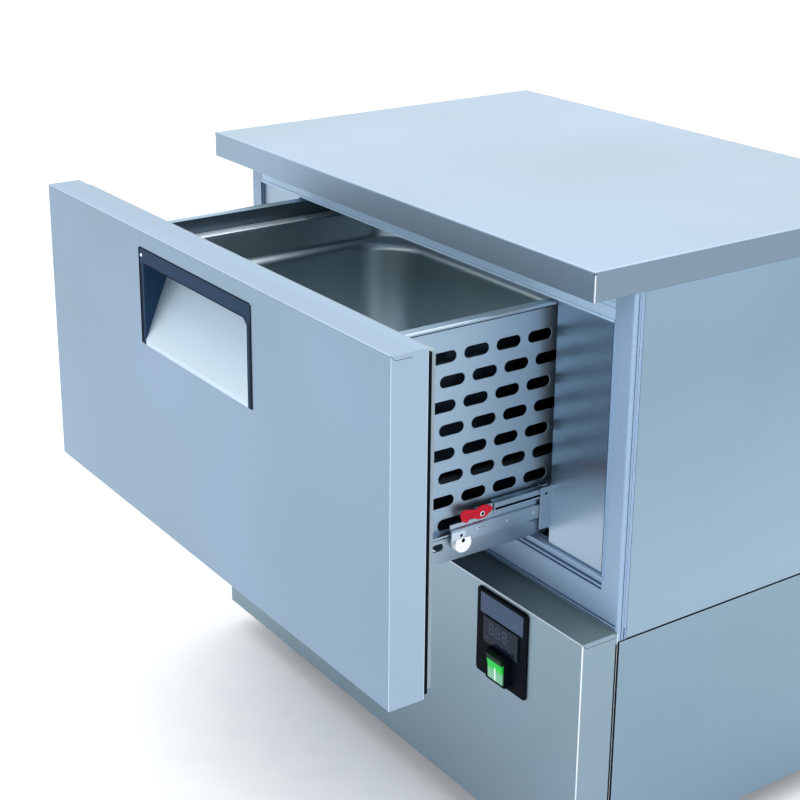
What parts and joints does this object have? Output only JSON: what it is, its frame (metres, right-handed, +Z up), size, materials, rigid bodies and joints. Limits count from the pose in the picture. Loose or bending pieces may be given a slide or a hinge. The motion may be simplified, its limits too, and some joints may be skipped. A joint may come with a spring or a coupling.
{
  "type": "refrigerated drawer counter",
  "caption": "Low stainless steel refrigerated counter with one wide pull-out drawer on telescopic slides, a lift-out pan, a plain worktop and a machine compartment with controls below.",
  "frame": {"origin": "centre of the footprint at floor level, with the drawer pulled out as pictured", "axes": "+X to the user's right when facing the drawer, +Y from the drawer front towards the back, +Z up"},
  "size_m": [0.7, 0.715, 0.68],
  "materials": {
    "worktop_steel": "fine brushed stainless steel, pale reflections",
    "brushed_panel": "brushed stainless steel sheet",
    "frame_vinyl": "extruded blue-grey vinyl breaker frame",
    "scoop_steel": "pale satin stainless steel",
    "liner_steel": "cold rolled stainless steel",
    "pan_steel": "deep drawn stainless steel, softly reflecting",
    "slide_steel": "rolled stainless steel section",
    "galvanised": "galvanised steel sheet, fine spangle",
    "foam": "closed-cell polyurethane foam",
    "gasket_vinyl": "soft grey vinyl seal",
    "handle_plastic": "navy-black moulded plastic",
    "charcoal_plastic": "charcoal moulded plastic",
    "black_plastic": "black moulded plastic, satin gloss",
    "display_plastic": "smoked display window",
    "green_lens": "lit green translucent plastic",
    "red_plastic": "red moulded plastic",
    "nylon": "white nylon",
    "fan_plastic": "black glass-filled plastic",
    "black_paint": "semi-gloss black paint",
    "fin_aluminium": "pressed aluminium fins",
    "copper": "drawn copper tube",
    "grommet_rubber": "black rubber",
    "zinc_foot": "zinc plated"
  },
  "bodies": {
    "cabinet": {"worktop": "worktop_steel", "frame_rail_top": "frame_vinyl", "frame_rail_bottom": "frame_vinyl", "frame_stile_left": "frame_vinyl", "frame_stile_right": "frame_vinyl", "side_panel_left": "brushed_panel", "side_panel_right": "brushed_panel", "back_panel": "galvanised", "deck_plate": "galvanised", "insulation_foam": "foam", "liner_wrap": "liner_steel", "liner_roof": "liner_steel", "liner_floor": "liner_steel", "carrier_left": "liner_steel", "carrier_right": "liner_steel", "cabinet_rail_left": "slide_steel", "cabinet_rail_right": "slide_steel", "base_tray": "galvanised", "machine_side_left": "brushed_panel", "machine_side_right": "brushed_panel", "back_grille": "galvanised", "machine_front": "brushed_panel", "machine_top_strip": "charcoal_plastic", "control_bezel": "black_plastic", "controller": "display_plastic", "compressor": "black_paint", "compressor_grommets": "grommet_rubber", "condenser": "fin_aluminium", "condenser_shroud": "black_paint", "evaporator": "fin_aluminium", "refrigerant_pipes": "copper", "condensate_tray": "charcoal_plastic", "power_gland": "charcoal_plastic"},
    "drawer": {"front_skin": "brushed_panel", "front_inner": "liner_steel", "front_foam": "foam", "front_gasket": "gasket_vinyl", "handle_frame": "handle_plastic", "handle_scoop": "scoop_steel", "box_side_left": "liner_steel", "box_side_right": "liner_steel", "box_base": "liner_steel", "pan": "pan_steel", "drawer_rail_left": "slide_steel", "drawer_rail_right": "slide_steel"},
    "intermediate_left": {"intermediate_left": "slide_steel"},
    "front_roller_left": {"front_roller_left": "nylon"},
    "cabinet_roller_left": {"cabinet_roller_left": "nylon"},
    "release_lever_left": {"release_lever_left": "red_plastic"},
    "intermediate_right": {"intermediate_right": "slide_steel"},
    "front_roller_right": {"front_roller_right": "nylon"},
    "cabinet_roller_right": {"cabinet_roller_right": "nylon"},
    "release_lever_right": {"release_lever_right": "red_plastic"},
    "rocker": {"rocker": "green_lens"},
    "condenser_fan": {"condenser_fan": "fan_plastic"},
    "evaporator_fan": {"evaporator_fan": "fan_plastic"},
    "foot_front_left": {"foot_front_left": "zinc_foot"},
    "foot_front_right": {"foot_front_right": "zinc_foot"},
    "foot_back_left": {"foot_back_left": "zinc_foot"},
    "foot_back_right": {"foot_back_right": "zinc_foot"}
  },
  "joints": [
    {"name": "drawer_slide", "type": "slide", "parent": "cabinet", "child": "drawer", "axis": [0, -1, 0], "range_m": [-0.2225, 0.12]},
    {"name": "intermediate_left_slide", "type": "slide", "parent": "cabinet", "child": "intermediate_left", "axis": [0, -1, 0], "range_m": [-0.1113, 0.0601]},
    {"name": "front_roller_left_spin", "type": "hinge", "parent": "intermediate_left", "child": "front_roller_left", "pos_m": [-0.2334, -0.191, 0.381], "axis": [1, 0, 0], "continuous": true},
    {"name": "cabinet_roller_left_spin", "type": "hinge", "parent": "cabinet", "child": "cabinet_roller_left", "pos_m": [-0.2334, -0.0537, 0.3726], "axis": [1, 0, 0], "continuous": true},
    {"name": "release_lever_left_tilt", "type": "hinge", "parent": "intermediate_left", "child": "release_lever_left", "pos_m": [-0.2367, -0.1675, 0.4066], "axis": [1, 0, 0], "range_deg": [0, 7], "stiffness_Nm_per_rad": 0.01, "springref_deg": -6.88},
    {"name": "intermediate_right_slide", "type": "slide", "parent": "cabinet", "child": "intermediate_right", "axis": [0, -1, 0], "range_m": [-0.1113, 0.0601]},
    {"name": "front_roller_right_spin", "type": "hinge", "parent": "intermediate_right", "child": "front_roller_right", "pos_m": [0.2334, -0.191, 0.381], "axis": [1, 0, 0], "continuous": true},
    {"name": "cabinet_roller_right_spin", "type": "hinge", "parent": "cabinet", "child": "cabinet_roller_right", "pos_m": [0.2334, -0.0537, 0.3726], "axis": [1, 0, 0], "continuous": true},
    {"name": "release_lever_right_tilt", "type": "hinge", "parent": "intermediate_right", "child": "release_lever_right", "pos_m": [0.2367, -0.1675, 0.4066], "axis": [1, 0, 0], "range_deg": [0, 7], "stiffness_Nm_per_rad": 0.01, "springref_deg": -6.88},
    {"name": "rocker_tilt", "type": "hinge", "parent": "cabinet", "child": "rocker", "pos_m": [0.228, -0.1331, 0.218], "axis": [1, 0, 0], "range_deg": [-12, 0]},
    {"name": "condenser_fan_spin", "type": "hinge", "parent": "cabinet", "child": "condenser_fan", "pos_m": [-0.09, 0.253, 0.1335], "axis": [0, 1, 0], "continuous": true},
    {"name": "evaporator_fan_spin", "type": "hinge", "parent": "cabinet", "child": "evaporator_fan", "pos_m": [-0.266, 0.165, 0.47], "axis": [1, 0, 0], "continuous": true},
    {"name": "foot_front_left_screw", "type": "hinge", "parent": "cabinet", "child": "foot_front_left", "pos_m": [-0.258, -0.077, 0.02], "axis": [0, 0, 1], "continuous": true},
    {"name": "foot_front_right_screw", "type": "hinge", "parent": "cabinet", "child": "foot_front_right", "pos_m": [0.258, -0.077, 0.02], "axis": [0, 0, 1], "continuous": true},
    {"name": "foot_back_left_screw", "type": "hinge", "parent": "cabinet", "child": "foot_back_left", "pos_m": [-0.258, 0.2995, 0.02], "axis": [0, 0, 1], "continuous": true},
    {"name": "foot_back_right_screw", "type": "hinge", "parent": "cabinet", "child": "foot_back_right", "pos_m": [0.258, 0.2995, 0.02], "axis": [0, 0, 1], "continuous": true}
  ],
  "couplings": [
    {"joint": "intermediate_left_slide", "follows": "drawer_slide", "ratio": 0.5},
    {"joint": "front_roller_left_spin", "follows": "drawer_slide", "rad_per_m": 50},
    {"joint": "cabinet_roller_left_spin", "follows": "drawer_slide", "rad_per_m": 50},
    {"joint": "intermediate_right_slide", "follows": "drawer_slide", "ratio": 0.5},
    {"joint": "front_roller_right_spin", "follows": "drawer_slide", "rad_per_m": 50},
    {"joint": "cabinet_roller_right_spin", "follows": "drawer_slide", "rad_per_m": 50}
  ]
}
